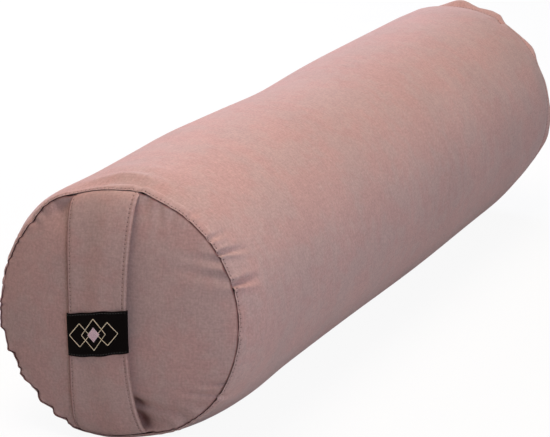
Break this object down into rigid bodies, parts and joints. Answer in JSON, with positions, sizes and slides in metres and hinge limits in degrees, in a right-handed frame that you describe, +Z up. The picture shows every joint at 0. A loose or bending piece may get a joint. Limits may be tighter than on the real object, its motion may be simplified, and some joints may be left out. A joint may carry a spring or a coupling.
{
  "type": "yoga bolster",
  "caption": "Round firm bolster: a sewn cloth cover with a lengthwise zip and a carrying handle across its front end, over a filled inner cushion.",
  "frame": {"origin": "on the floor under the middle of the bolster's bounding box", "axes": "+Z up, Y along the bolster with the handle end facing -Y, the zip on the -X side"},
  "size_m": [0.216, 0.7392, 0.2035],
  "materials": {
    "cover_cotton": "plain-weave cotton, dusty rose, matt",
    "label_ribbon": "woven ribbon, black, slight sheen",
    "zip_tape": "woven tape, rose",
    "zip_plastic": "moulded teeth, rose, satin",
    "zip_metal": "plated zinc, satin",
    "liner_cotton": "unbleached calico",
    "filling_fibre": "packed plant fibre"
  },
  "bodies": {
    "bolster": {"cover_body_panel": "cover_cotton", "cover_front_end_panel": "cover_cotton", "cover_rear_end_panel": "cover_cotton", "handle_strap": "cover_cotton", "handle_label": "label_ribbon", "zip_tape_lower": "zip_tape", "zip_tape_upper": "zip_tape", "zip_teeth_lower": "zip_plastic", "zip_teeth_upper": "zip_plastic", "zip_closed_end_stop_lower": "zip_metal", "zip_closed_end_stop_upper": "zip_metal", "zip_open_end_stop": "zip_metal", "liner_body_panel": "liner_cotton", "liner_front_end_panel": "liner_cotton", "liner_rear_end_panel": "liner_cotton", "filling": "filling_fibre"},
    "slider": {"zip_slider": "zip_metal"},
    "pull_tab": {"zip_pull_tab": "zip_metal"}
  },
  "joints": [
    {"name": "zip_slide", "type": "slide", "parent": "bolster", "child": "slider", "axis": [0, 1, 0], "range_m": [0, 0.371], "deforming": ["zip_teeth_lower", "zip_teeth_upper"]},
    {"name": "pull_tab_hinge", "type": "hinge", "parent": "slider", "child": "pull_tab", "pos_m": [-0.10572, -0.18213, 0.11492], "axis": [0.1433, 0, 0.9897], "range_deg": [0, 175]}
  ]
}
